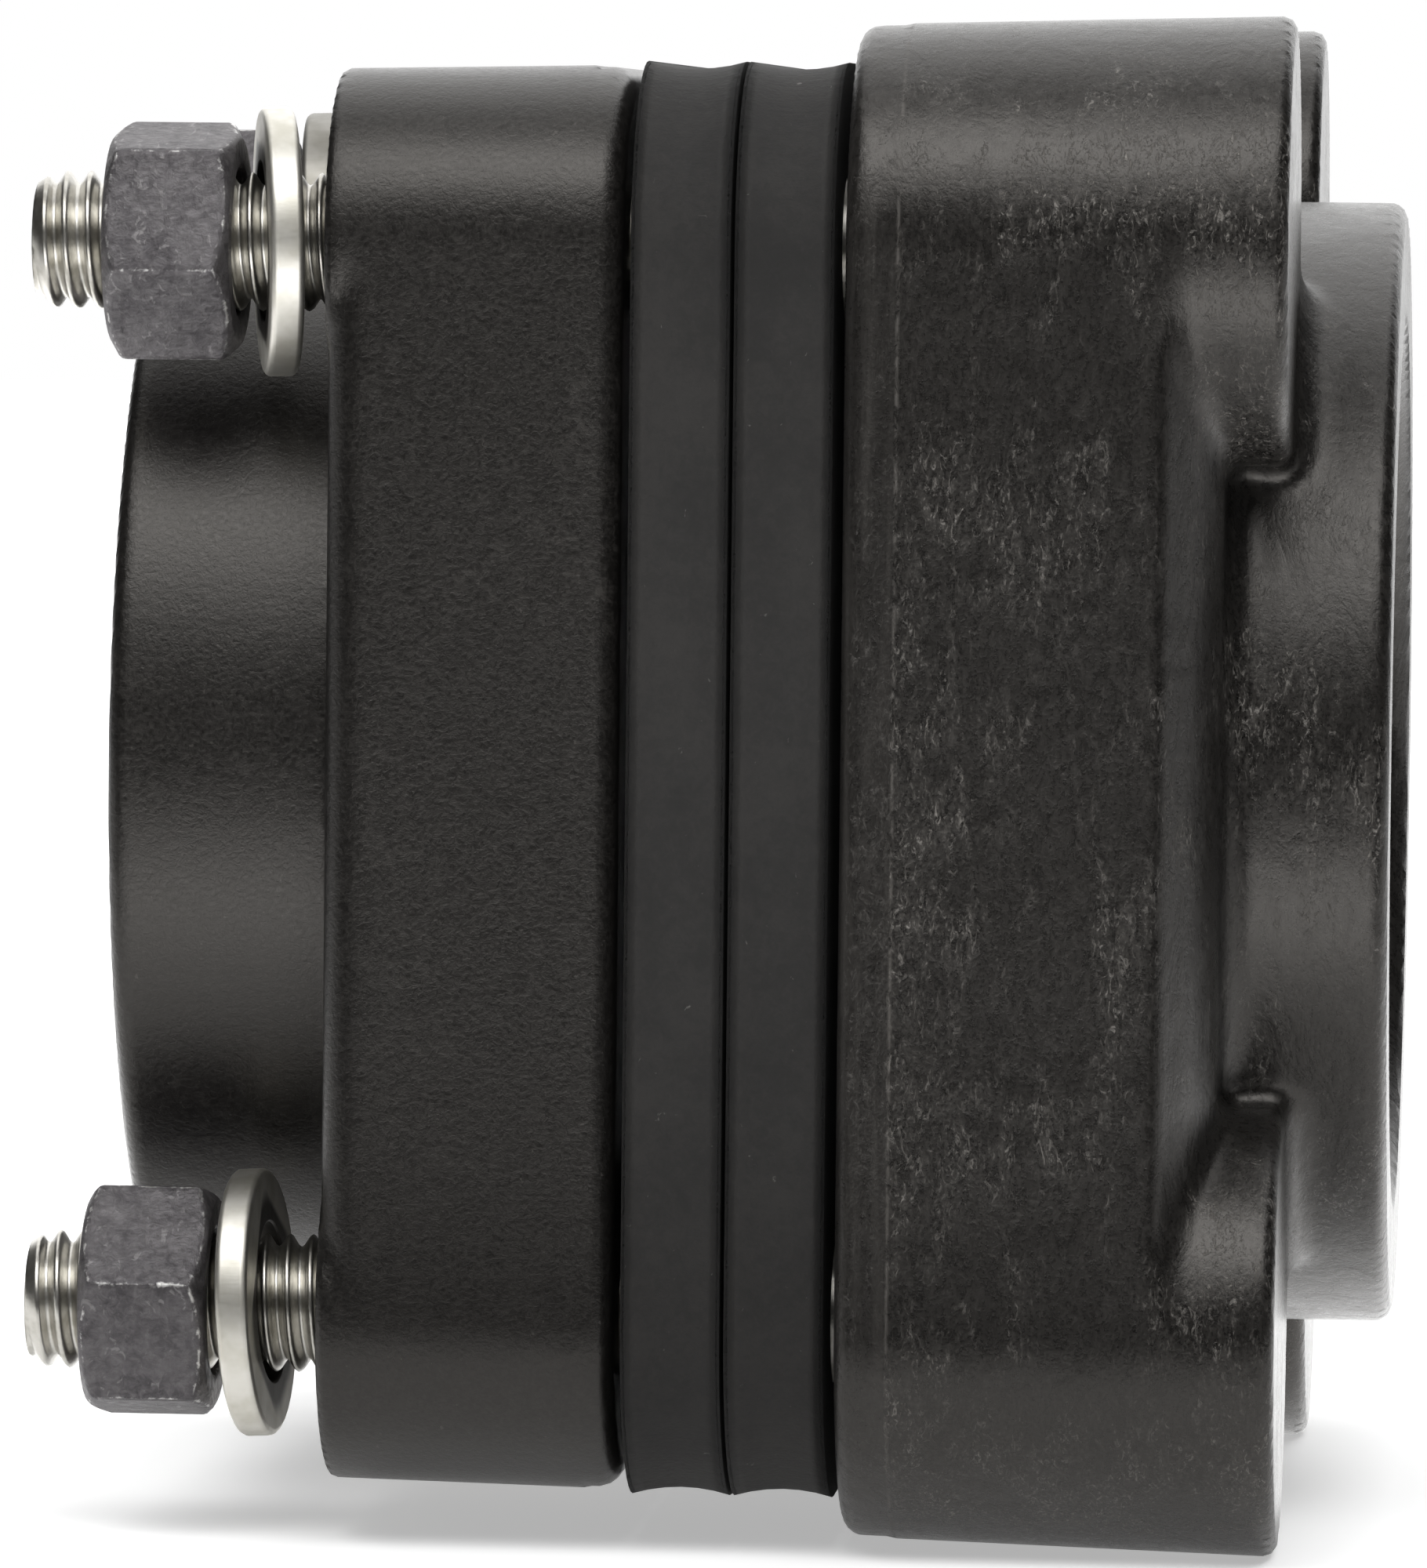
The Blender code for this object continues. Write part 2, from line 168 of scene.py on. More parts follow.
def makeScuffedPlastic():
    look = mouldedLook
    material, shader, place = newMaterial("scuffedPlastic", mouldedShine)
    x, y, z = place.parts()
    upright = place.stretched((1.0, 1.0, 0.42))
    cloudy = place.noise(0.055, 3, 0.55, 0.5)
    patches = upright.noise(0.30, 5, 0.62, 0.9)
    mottle = upright.noise(1.35, 6, 0.72, 0.7)
    grain = place.noise(3.6, 4, 0.7)
    fibres = upright.noise(2.2, 5, 0.75, 1.6)
    streaks = place.stretched((1.0, 1.0, 0.06)).noise(1.1, 4, 0.6)
    fromLine = x - 1000 * sealX - look["partingTo"]
    skin = fromLine.within(-0.3, 0.0)
    # The thin lighter line along the parting line is partly rubbed plastic and partly a painted highlight,
    # standing in for the light caught by the small step there
    line = (1 - abs(fromLine) * 5).upper(0.0) * mottle.within(0.40, 0.60)
    scuffed = (patches * 0.75 + cloudy * 0.65).within(0.64, 0.88)
    speckle = (mottle * 0.6 + grain * 0.4).within(0.42, 0.80)
    hairs = fibres.within(0.52, 0.70) * (0.10 + scuffed * 1.3)
    edge = (1 - skin) * (0.03 + streaks.within(0.40, 0.70) * 0.20)
    amount = (speckle * (0.12 + scuffed * 0.88) * (0.30 + skin * 0.70)).upper(line).upper(edge)
    color = (mottle * 0.4 + grain * 0.6).within(0.34, 0.72).mix(look["deep"], look["worn"])
    color = (amount * 0.75).mix(color, look["rubbed"])
    color = (hairs * (0.08 + skin * 0.50)).mix(color, look["scratch"])
    roughness = 0.17 + mottle * 0.14 + amount * 0.20 + grain * 0.08
    dents = (cloudy * 2.0 + patches * 0.7 + mottle * 0.25).bump(0.0004, 0.35)
    normal = (grain + hairs * 0.9).bump(0.00005, 0.5, dents)
    feed(shader, color=color, roughness=roughness, normal=normal)
    return material


def makeSatinPlastic():
    look = mouldedLook
    material, shader, place = newMaterial("satinPlastic", mouldedShine)
    cloudy = place.noise(0.06, 3, 0.5)
    mottle = place.noise(0.8, 5, 0.65, 0.5)
    grain = place.noise(2.8, 4, 0.72, 0.4)
    dust = place.noise(1.9, 2, 0.5).within(0.72, 0.77)
    fine = (grain * 0.7 + mottle * 0.3).within(0.36, 0.72)
    color = fine.mix(look["deep"], look["worn"])
    rubbed = dust * 0.35 + cloudy.within(0.5, 0.7) * mottle.within(0.5, 0.7) * 0.20
    color = rubbed.mix(color, look["rubbed"])
    roughness = 0.26 + cloudy * 0.06 + fine * 0.10
    normal = (grain * 1.6 + mottle).bump(0.00006, 0.45)
    feed(shader, color=color, roughness=roughness, normal=normal)
    return material


def makeGasketRubber():
    material, shader, place = newMaterial("gasketRubber", {"IOR": 1.5})
    cloudy = place.noise(0.12, 4, 0.6)
    mottle = place.noise(1.1, 5, 0.7, 0.6)
    grain = place.noise(3.4, 4, 0.7)
    cuts = place.stretched((0.25, 1.6, 1.6)).noise(1.4, 3, 0.6)
    specks = place.noise(1.3, 3, 0.6, 0.8).within(0.70, 0.78)
    skin = (cloudy * 0.4 + mottle * 0.3 + grain * 0.3).within(0.38, 0.64)
    color = skin.mix((0.0078, 0.0071, 0.0064), (0.0200, 0.0184, 0.0168))
    color = (specks * 0.45).mix(color, (0.22, 0.21, 0.20))
    roughness = 0.66 + grain * 0.20
    normal = (grain + mottle * 0.8 + cuts * 0.8).bump(0.00008, 0.7)
    feed(shader, color=color, roughness=roughness, normal=normal)
    return material


def makeThreadSteel():
    material, shader, place = newMaterial("threadSteel", {"Metallic": 1.0})
    grain = place.noise(2.4, 3, 0.6)
    stain = place.noise(0.5, 3, 0.6)
    color = stain.within(0.35, 0.7).mix((0.56, 0.545, 0.505), (0.38, 0.365, 0.325))
    feed(shader, color=color, roughness=0.24 + grain * 0.16, normal=grain.bump(0.00002, 0.3))
    return material


def makeWasherSteel():
    # The rim attribute is 1 on the outer rim, which shows the bright steel, and 0 on the faces and in the
    # hole, which are painted dark as shade; it is lower on the far washers, whose rims get painted shade
    # too
    material, shader, place = newMaterial("washerSteel", {"Metallic": 1.0})
    paintedRimLight = place.node("ShaderNodeAttribute", {"attribute_name": "paintedRimLight"}, {}, out="Fac")
    lines = place.stretched((0.3, 4.0, 4.0)).noise(1.6, 3, 0.6)
    bloom = place.noise(0.35, 3, 0.55)
    bright = bloom.within(0.35, 0.7).mix((0.70, 0.682, 0.63), (0.56, 0.542, 0.477))
    # Painted shade: the faces take this near-black copy of the same steel
    paintedShadeFace = bloom.within(0.35, 0.7).mix((0.085, 0.080, 0.070), (0.050, 0.046, 0.040))
    color = paintedRimLight.within(0.3, 0.7).mix(paintedShadeFace, bright)
    roughness = 0.34 + lines * 0.14 + bloom * 0.08
    feed(shader, color=color, roughness=roughness, normal=lines.bump(0.00002, 0.25))
    return material


def makeNutSteel():
    # The wear attribute is 1 along the edges that have rubbed bright
    material, shader, place = newMaterial("nutSteel", {})
    wear = place.node("ShaderNodeAttribute", {"attribute_name": "wear"}, {}, out="Fac")
    pits = place.noise(1.3, 6, 0.72, 0.6)
    grain = place.noise(7.0, 3, 0.6)
    cloudy = place.noise(0.35, 4, 0.6)
    dings = place.stretched((1.0, 0.45, 0.8)).noise(0.9, 3, 0.6, 1.5)
    broken = place.noise(0.75, 4, 0.65, 0.5)
    bright = (wear * 0.9 + pits * 0.7 + broken * 1.3 - 1.62).within(0.0, 0.32)
    nicks = dings.within(0.60, 0.68) * 0.6
    color = cloudy.within(0.3, 0.7).mix((0.064, 0.059, 0.063), (0.128, 0.120, 0.124))
    color = pits.within(0.35, 0.8).mix(color, (0.170, 0.161, 0.165))
    color = nicks.mix(color, (0.26, 0.25, 0.25))
    color = bright.mix(color, (0.66, 0.65, 0.635))
    roughness = 0.42 + grain * 0.14 - bright * 0.14
    normal = (pits * 1.8 + dings * 1.2 + grain * 0.3).bump(0.00012, 0.55)
    feed(shader, color=color, roughness=roughness, metallic=0.70 + bright * 0.3, normal=normal)
    return material


# How a solid's mesh is cleaned before it is dressed
cleaning = {
    "mergeWithin": 0.000002, "flatTo": radians(0.4), "hardFrom": radians(34), "edgeSteps": 2,
    "normalWeight": 60,
}


def linked(name, mesh):
    piece = bpy.data.objects.new(name, mesh)
    bpy.context.scene.collection.objects.link(piece)
    return piece


def dressedCopy(name, node, material, edgeRound=0.0):
    # The solid's own form, merged into one clean mesh, with its hard edges broken
    mesh = bpy.data.meshes.new(name)
    bm = bmesh.new()
    bm.from_mesh(frame["nodes"][node].data)
    bmesh.ops.remove_doubles(bm, verts=bm.verts, dist=cleaning["mergeWithin"])
    bmesh.ops.dissolve_limit(bm, angle_limit=cleaning["flatTo"], verts=bm.verts, edges=bm.edges)
    bm.to_mesh(mesh)
    bm.free()
    mesh.materials.append(material)
    mesh.shade_smooth()
    piece = linked(name, mesh)
    if edgeRound:
        edge = piece.modifiers.new("edges", "BEVEL")
        edge.width, edge.segments = edgeRound, cleaning["edgeSteps"]
        edge.limit_method, edge.angle_limit = "ANGLE", cleaning["hardFrom"]
        edge.miter_outer = "MITER_ARC"
    flat = piece.modifiers.new("normals", "WEIGHTED_NORMAL")
    flat.weight, flat.keep_sharp = cleaning["normalWeight"], True
    return piece


def settle(piece):
    # Turns a piece with modifiers into a plain mesh
    bpy.context.view_layer.update()
    mesh = bpy.data.meshes.new_from_object(piece.evaluated_get(bpy.context.evaluated_depsgraph_get()))
    piece.modifiers.clear()
    piece.data = mesh
    return piece


def setOut(piece, body, slot, *nodes):
    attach(piece, body)
    if nodes:
        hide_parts(*nodes)
    return piece


def makeTree(name, inputs):
    tree = bpy.data.node_groups.new(name, "GeometryNodeTree")
    tree.interface.new_socket("Geometry", in_out="OUTPUT", socket_type="NodeSocketGeometry")
    for key, value in inputs.items():
        socket = tree.interface.new_socket(key, in_out="INPUT", socket_type="NodeSocketFloat")
        socket.default_value = value
    entry = tree.nodes.new("NodeGroupInput")
    return Wire(tree), {socket.name: Wire(tree, socket) for socket in entry.outputs if socket.name}


def finishTree(geometry, material):
    geometry = geometry.node("GeometryNodeRealizeInstances", {}, [geometry])
    geometry = geometry.node("GeometryNodeSetMaterial", {}, {"Geometry": geometry, "Material": material})
    output = geometry.tree.nodes.new("NodeGroupOutput")
    geometry.tree.links.new(geometry.socket, output.inputs[0])
    return geometry.tree


def growPiece(name, tree, inputs, move=Matrix()):
    # Runs a geometry tree once, keeps the plain mesh and puts its place in it
    piece = linked(name, bpy.data.meshes.new(name))
    step = piece.modifiers.new("grow", "NODES")
    step.node_group = tree
    for item in tree.interface.items_tree:
        if item.in_out == "INPUT" and item.name in inputs:
            step[item.identifier] = inputs[item.name]
    settle(piece)
    piece.data.transform(move)
    bm = bmesh.new()
    bm.from_mesh(piece.data)
    bmesh.ops.recalc_face_normals(bm, faces=bm.faces)
    bm.to_mesh(piece.data)
    bm.free()
    return piece


# The two flanges are one rule: a drafted block cut back to a sloped shoulder and corner bosses,
# with a hub on it and the holes taken out. All lengths are in millimetres from the sealing face.
bossedFlange = {
    "Edge Margin": 15.1, "Draft": tan(radians(1.6)), "Seal Round": 1.3, "Parting Line": 3.5,
    "Parting Step": 0.12, "Plate": 21.4, "Shoulder Length": 3.8, "Shoulder Drop": 6.0,
    "Shoulder Round": 0.7, "Top Round": 2.2, "Boss Height": 29.6, "Boss Round": 1.0, "Boss Blend": 1.6,
    "Boss Shift": 0.75,
    "Hub Length": 36.5, "Hub Round": 1.2, "Hub Blend": 2.6, "Hole Radius": 5.05, "Hole Depth": 13.0,
}
plainFlange = {
    "Edge Margin": 12.2, "Draft": tan(radians(-1.2)), "Seal Round": 1.8, "Parting Line": 2.6,
    "Parting Step": 0.12, "Plate": 20.2, "Shoulder Length": 0.0, "Shoulder Drop": 6.0,
    "Shoulder Round": 3.0, "Top Round": 0.2, "Boss Height": 20.2, "Boss Round": 0.5, "Boss Blend": 0.2,
    "Boss Shift": 0.0,
    "Hub Length": 35.8, "Hub Round": 1.2, "Hub Blend": 1.2, "Hole Radius": 5.35, "Hole Depth": 60.0,
}
flangeCommon = {
    "Bolt Offset": 1000 * boltOffset, "Hub Radius": 39.8, "Bore Radius": 26.25, "Thread Radius": 30.15,
    "Thread Depth": 26.0, "Thread Taper": 1 / 32, "Mouth Chamfer": 1.2,
}
flangeGrid = {"cell": 0.68, "reach": 54.0, "spare": 1.5, "fade": 0.2, "adaptivity": 0.0}


def roundCut(first, second, radius):
    # Both distances at once, with the outer corner rounded to a true radius
    corner = (first + radius).upper(0.0) ** 2.0 + (second + radius).upper(0.0) ** 2.0
    return first.upper(second).lower(-radius) + corner.root()


def roundJoin(first, second, radius):
    # Either distance, with the inner corner filled to a true radius
    corner = (radius - first).upper(0.0) ** 2.0 + (radius - second).upper(0.0) ** 2.0
    return first.lower(second).upper(radius) - corner.root()


def makeFlangeTree(name, look, material):
    inputs = {**look, **flangeCommon}
    start, value = makeTree(name, inputs)
    place = start.node("GeometryNodeInputPosition", {}, {})
    x, y, z = place.parts()
    y, z = abs(y), abs(z)
    away = (y * y + z * z).root()
    acrossY, acrossZ = y - value["Bolt Offset"], z - value["Bolt Offset"]
    corner = (acrossY.upper(0.0) ** 2.0 + acrossZ.upper(0.0) ** 2.0).root()
    corner = corner + acrossY.upper(acrossZ).lower(0.0)
    fromBolt = (acrossY * acrossY + acrossZ * acrossZ).root()
    step = (x - value["Parting Line"]).math("SIGN").upper(0.0) * value["Parting Step"]
    margin = value["Edge Margin"] + x.upper(0.0) * value["Draft"] + step
    side = corner - margin
    # The shoulder falls away towards the edge, and the bosses stand up out of it
    fall = value["Shoulder Length"] / value["Shoulder Drop"]
    edge = value["Edge Margin"] + value["Plate"] * value["Draft"] + value["Parting Step"]
    slope = (x - value["Plate"] + (corner - edge) * fall) / (fall * fall + 1).root()
    top = roundCut(slope, x - value["Plate"] - value["Shoulder Length"], value["Top Round"])
    plate = roundCut(side, top, value["Shoulder Round"])
    bossY, bossZ = acrossY - value["Boss Shift"], acrossZ - value["Boss Shift"]
    boss = side.upper((bossY * bossY + bossZ * bossZ).root() + value["Boss Shift"] - margin)
    body = side.upper(roundJoin(plate, boss, value["Boss Blend"]))
    body = roundCut(body, x - value["Boss Height"], value["Boss Round"])
    hub = roundCut(away - value["Hub Radius"], x - value["Hub Length"], value["Hub Round"])
    body = roundJoin(body, hub, value["Hub Blend"])
    body = roundCut(body, -x, value["Seal Round"])
    # The bore, the tapered pipe socket with its chamfered mouth, and the bolt holes
    depth = value["Hub Length"] - x
    socket = away - value["Thread Radius"] + depth * value["Thread Taper"]
    socket = socket.upper(depth - value["Thread Depth"])
    mouth = away - value["Thread Radius"] - value["Mouth Chamfer"] + depth
    hole = (fromBolt - value["Hole Radius"]).upper(x - value["Hole Depth"])
    space = (away - value["Bore Radius"]).lower(socket).lower(mouth).lower(hole)
    body = body.upper(-space)
    # The solid is where the density passes a half
    density = (0.5 - body * flangeGrid["fade"]).upper(0.0).lower(1.0)
    cell, reach, spare = flangeGrid["cell"], flangeGrid["reach"], flangeGrid["spare"]
    length = inputs["Hub Length"] + 2 * spare
    across, along = round(2 * reach / cell), round(length / cell)
    volume = place.node("GeometryNodeVolumeCube", {}, {
        "Density": density, "Background": 0.0,
        "Min": (-spare, -reach, -reach), "Max": (length - spare, reach, reach),
        "Resolution X": along, "Resolution Y": across, "Resolution Z": across,
    })
    mesh = place.node("GeometryNodeVolumeToMesh", {}, {
        "Volume": volume, "Threshold": 0.5, "Adaptivity": flangeGrid["adaptivity"],
    })
    # The grid's points move onto the true form
    facing = place.node("GeometryNodeInputNormal", {}, {}, out="Normal")
    back = place.node("ShaderNodeVectorMath", {"operation": "SCALE"}, {
        "Vector": facing, "Scale": -body,
    }, out="Vector")
    mesh = place.node("GeometryNodeSetPosition", {}, {"Geometry": mesh, "Offset": back})
    mesh = place.node("GeometryNodeSetShadeSmooth", {}, {"Geometry": mesh, "Shade Smooth": True})
    return finishTree(mesh, material)


boltThread = {
    "Spacing": 2 * boltOffset, "Pitch": 0.0015875, "Depth": 0.00088, "Radius": 0.00475,
    "Chamfer": 0.0008, "Chamfer Slope": 1.6, "Run Out": 0.0030, "Thread Length": 0.052,
    "Head Width": 0.0143, "Head Height": 0.0061, "Head Overlap": 0.0002,
    "Rod Length": sealX + 0.0133 - boltLow.x,
}
boltMesh = {"sides": 36, "rowsPerTurn": 8}
threadShape = {"flat": 0.14, "flank": 0.72, "mergeWithin": 0.000001}


def threadGrid(start, rows, sides):
    # A grid whose columns run round the thread and whose rows run along it
    grid = start.node("GeometryNodeMeshGrid", {}, {
        "Size X": 1.0, "Size Y": 1.0, "Vertices X": sides + 1, "Vertices Y": rows + 1,
    }, out="Mesh")
    x, y, z = start.node("GeometryNodeInputPosition", {}, {}).parts()
    return grid, x + 0.5, y + 0.5


def threadHeight(along, around, pitch):
    # 1 on the crest and 0 in the root, by the place along and round the helix
    phase = (along / pitch - around).math("FRACT")
    away = abs(phase - 0.5) * 2
    return ((away - threadShape["flat"]) / threadShape["flank"]).lower(1.0).upper(0.0)


def around3d(along, reach, around):
    angle = around * tau
    return along.node("ShaderNodeCombineXYZ", {}, [
        along, reach * angle.math("COSINE"), reach * angle.math("SINE"),
    ])


def makeBoltTree(material):
    start, value = makeTree("threadedBolts", boltThread)
    turns = int(boltThread["Rod Length"] / boltThread["Pitch"]) + 3
    rows = turns * boltMesh["rowsPerTurn"]
    grid, around, up = threadGrid(start, rows, boltMesh["sides"])
    pitch, radius = value["Pitch"], value["Radius"]
    # Rows lean by one pitch in a turn, so that they follow the helix, and stop at both ends
    along = (up * (pitch * turns) - pitch * (2 - around)).upper(0.0).lower(value["Rod Length"])
    fade = 1 - ((along - value["Thread Length"]) / value["Run Out"]).lower(1.0).upper(0.0)
    cut = (1 - threadHeight(along, around, pitch)) * value["Depth"] * fade
    slope = value["Chamfer Slope"]
    tipLimit = radius - (value["Chamfer"] * slope - along).upper(0.0) / slope
    reach = (radius - cut).lower(tipLimit)
    # The first and last rows close the ends on the axis
    reach = reach * up.math("GREATER_THAN", 0.5 / rows) * up.math("LESS_THAN", 1 - 0.5 / rows)
    rod = start.node("GeometryNodeSetPosition", {}, {
        "Geometry": grid, "Position": around3d(along, reach, around),
    })
    rod = start.node("GeometryNodeMergeByDistance", {}, {
        "Geometry": rod, "Distance": threadShape["mergeWithin"],
    })
    rod = start.node("GeometryNodeSetShadeSmooth", {}, {"Geometry": rod, "Shade Smooth": True})
    head = start.node("GeometryNodeMeshCylinder", {}, {
        "Vertices": 6, "Radius": value["Head Width"] / sqrt(3), "Depth": value["Head Height"],
    }, out="Mesh")
    middle = start.node("ShaderNodeCombineXYZ", {}, [
        value["Rod Length"] + value["Head Height"] * 0.5 - value["Head Overlap"], 0.0, 0.0,
    ])
    head = start.node("GeometryNodeTransform", {}, {
        "Geometry": head, "Translation": middle, "Rotation": (0, pi / 2, 0),
    })
    head = start.node("GeometryNodeSetShadeSmooth", {}, {"Geometry": head, "Shade Smooth": False})
    join = start.node("GeometryNodeJoinGeometry", {}, {"Geometry": rod})
    start.tree.links.new(head.socket, join.socket.node.inputs[0])
    # Four bolts on the corners of a square, laid across the pipe axis
    square = start.node("GeometryNodeMeshGrid", {}, {
        "Size X": value["Spacing"], "Size Y": value["Spacing"], "Vertices X": 2, "Vertices Y": 2,
    }, out="Mesh")
    square = start.node("GeometryNodeTransform", {}, {"Geometry": square, "Rotation": (0, pi / 2, 0)})
    four = start.node("GeometryNodeInstanceOnPoints", {}, {"Points": square, "Instance": join})
    return finishTree(four, material)


pipeThread = {
    "Pitch": 0.0022087, "Depth": 0.00165, "Mouth Radius": 0.03015, "Taper": 1 / 32,
    "Length": 0.0243, "Bury": 0.0003, "Start": 0.0013, "Lead": 0.0020, "Phase": 0.317,
}
pipeMesh = {"sides": 96, "rowsPerTurn": 8}


def makePipeThreadTree(material):
    # The female thread in a hub: a ring whose inner side is the helix, buried a hair in the wall.
    # It runs inwards, so the angle is turned over to keep the thread right-handed.
    start, value = makeTree("pipeThread", pipeThread)
    turns = int(pipeThread["Length"] / pipeThread["Pitch"]) + 2
    rows = turns * pipeMesh["rowsPerTurn"] + 4
    grid, around, up = threadGrid(start, rows, pipeMesh["sides"])
    pitch, length = value["Pitch"], value["Length"]
    along = (up * rows - 2) / (rows - 4) * (pitch * turns) - pitch * (1 - around)
    along = along.upper(0.0).lower(length)
    lead = (along / value["Lead"]).lower(1.0) * ((length - along) / value["Lead"]).lower(1.0)
    wall = value["Mouth Radius"] - (along + value["Start"]) * value["Taper"]
    reach = wall - threadHeight(along, around - value["Phase"], pitch) * value["Depth"] * lead
    # The outermost rows lie inside the wall, and the last ones meet halfway along it
    outer = 1 - up.math("GREATER_THAN", 1.5 / rows) * up.math("LESS_THAN", 1 - 1.5 / rows)
    back = 1 - up.math("GREATER_THAN", 0.5 / rows) * up.math("LESS_THAN", 1 - 0.5 / rows)
    along = along + (length * 0.5 - along) * back
    wall = value["Mouth Radius"] - (along + value["Start"]) * value["Taper"]
    reach = reach + (wall + value["Bury"] - reach) * outer
    along = (along + value["Start"]) * -1
    ring = start.node("GeometryNodeSetPosition", {}, {
        "Geometry": grid, "Position": around3d(along, reach, -around),
    })
    ring = start.node("GeometryNodeMergeByDistance", {}, {
        "Geometry": ring, "Distance": threadShape["mergeWithin"],
    })
    ring = start.node("GeometryNodeSetShadeSmooth", {}, {"Geometry": ring, "Shade Smooth": True})
    return finishTree(ring, material)


nutLook = {
    "edgeRound": 0.00036, "wearWidth": 0.00055, "markEvery": 0.0002, "cutLength": 0.00060,
    "cutRounds": 5, "sharpFrom": radians(22), "sharpTo": radians(58),
}
# The shine values scale the bright steel on each washer's rim; washers 3 and 4, on the far side, get less
# of it as painted shade
washerLook = {
    "edgeRound": 0.00020, "rimFrom": 0.93, "rimGain": 40, "paintedRimLevel": {1: 1.0, 2: 1.0, 3: 0.45, 4: 0.45},
}


def cutFine(piece):
    # Splits long edges, so that the wear attribute has points to sit on
    bm = bmesh.new()
    bm.from_mesh(piece.data)
    bmesh.ops.triangulate(bm, faces=bm.faces)
    for _ in range(nutLook["cutRounds"]):
        long = [edge for edge in bm.edges if edge.calc_length() > nutLook["cutLength"]]
        if not long:
            break
        bmesh.ops.subdivide_edges(bm, edges=long, cuts=1)
        bmesh.ops.triangulate(bm, faces=bm.faces)
    bm.to_mesh(piece.data)
    bm.free()


def markWear(piece, node):
    # How near each point is to a sharp outer edge of the nut that it was made from
    bm = bmesh.new()
    bm.from_mesh(frame["nodes"][node].data)
    bmesh.ops.remove_doubles(bm, verts=bm.verts, dist=cleaning["mergeWithin"])
    points, strengths = [], []
    for edge in bm.edges:
        angle = edge.calc_face_angle_signed() if edge.is_manifold else 0.0
        if angle > nutLook["sharpFrom"]:
            first, second = (vertex.co for vertex in edge.verts)
            steps = max(1, int((second - first).length / nutLook["markEvery"]))
            points += [first.lerp(second, step / steps) for step in range(steps + 1)]
            strengths += [min(1.0, angle / nutLook["sharpTo"])] * (steps + 1)
    bm.free()
    tree = KDTree(len(points))
    for index, point in enumerate(points):
        tree.insert(point, index)
    tree.balance()
    wear = piece.data.attributes.new("wear", "FLOAT", "POINT")
    for index, vertex in enumerate(piece.data.vertices):
        near, nearest, distance = tree.find(vertex.co)
        wear.data[index].value = max(0.0, 1 - distance / nutLook["wearWidth"]) * strengths[nearest]


def markRim(piece, node, paintedRimLevel):
    # How much bright steel shows on the outer rim, lowered on the far washers as painted shade, and 0 on
    # the faces and in the hole, which get painted shade
    low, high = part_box(node)
    center = (low + high) / 2
    reach = max((vertex.co - center).length for vertex in piece.data.vertices)
    paintedRimLight = piece.data.attributes.new("paintedRimLight", "FLOAT", "POINT")
    for index, vertex in enumerate(piece.data.vertices):
        past = (vertex.co - center).length / reach - washerLook["rimFrom"]
        paintedRimLight.data[index].value = paintedRimLevel * min(1.0, max(0.0, past * washerLook["rimGain"]))


# Light and floor
studio = {
    "floorNear": -0.100, "floorFar": 4.0, "floorWide": 4.0, "floorColor": (0.84, 0.84, 0.84),
    "cameraLift": 0.42, "glossyLift": 0.40, "behindLift": 1.15, "behindFrom": -0.021, "behindTo": -0.004,
    "liftWide": 0.10, "liftSoft": 0.15, "dark": 0.04, "back": 1.75, "backSoft": (0.05, 0.50),
    "frontSoft": (0.05, 0.30), "wide": 0.62, "wideSoft": 0.25, "boxSoft": 0.12,
    "upper": {"low": 0.38, "soft": 0.52, "high": 0.86, "power": 4.4},
    "lower": {"low": 0.25, "soft": 0.10, "high": 0.66, "power": 3.7},
    "topSoftbox": {"place": (-0.10, -0.75, 0.85), "size": (1.0, 0.5), "power": 2.0},
}


def makeWorld():
    world = bpy.data.worlds.new("studio")
    bpy.context.scene.world = world
    world.use_nodes = True
    start = Wire(world.node_tree)
    seen = start.node("ShaderNodeLightPath", {}, {}, out="Is Camera Ray")
    x, y, z = start.node("ShaderNodeTexCoord", {}, {}, out="Generated").parts()
    # A dark room in front at the horizon, a softbox above it and one below, and a white sweep behind
    middle = 1 - abs(x).within(studio["wide"] - studio["wideSoft"], studio["wide"])
    level = studio["dark"] + (y * 0.9 + abs(z) * 0.25).within(*studio["backSoft"]) * middle * studio["back"]
    inFront = (-y).within(*studio["frontSoft"]) * middle
    for height, box in ((z, studio["upper"]), (-z, studio["lower"])):
        band = height.within(box["low"], box["low"] + box["soft"]) * (
            1 - height.within(box["high"], box["high"] + studio["boxSoft"]))
        level = level + band * inFront * box["power"]
    background = world.node_tree.nodes["Background"]
    world.node_tree.links.new((seen + (1 - seen) * level).socket, background.inputs["Strength"])
    background.inputs["Color"].default_value = (1, 1, 1, 1)


